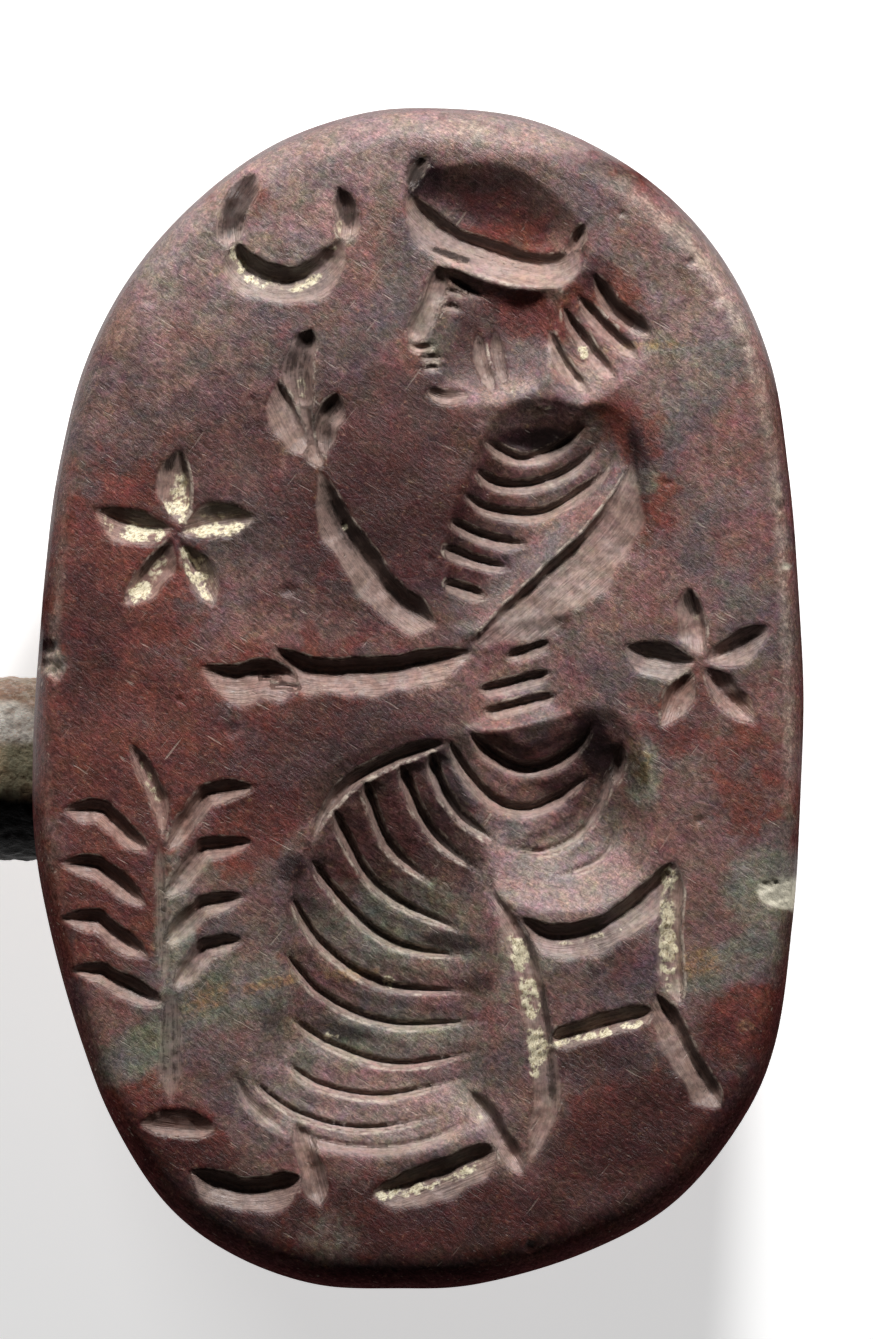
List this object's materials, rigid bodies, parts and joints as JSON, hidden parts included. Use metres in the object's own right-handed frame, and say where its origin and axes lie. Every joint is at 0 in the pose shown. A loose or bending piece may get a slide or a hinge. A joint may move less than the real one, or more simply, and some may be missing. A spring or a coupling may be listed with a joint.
{
  "type": "stamp seal",
  "caption": "Oval stamp seal of mottled red-brown stone with a cut figure, moon, stars and plant on its flat face, a domed back and a bronze pin through its cross hole.",
  "frame": {"origin": "centre of the small flat that the domed back rests on", "axes": "+Z out of the cut face, +Y along the face from the figure's feet to its head, +X to the right of the figure as cut"},
  "size_m": [0.019, 0.027, 0.011],
  "materials": {
    "red_jasper": "satin, worn polish, mottled maroon and grey-green",
    "aged_bronze": "dull brown metal with a grey-green crust"
  },
  "bodies": {
    "root": {"seal_stone": "red_jasper", "suspension_pin": "aged_bronze"}
  },
  "joints": []
}
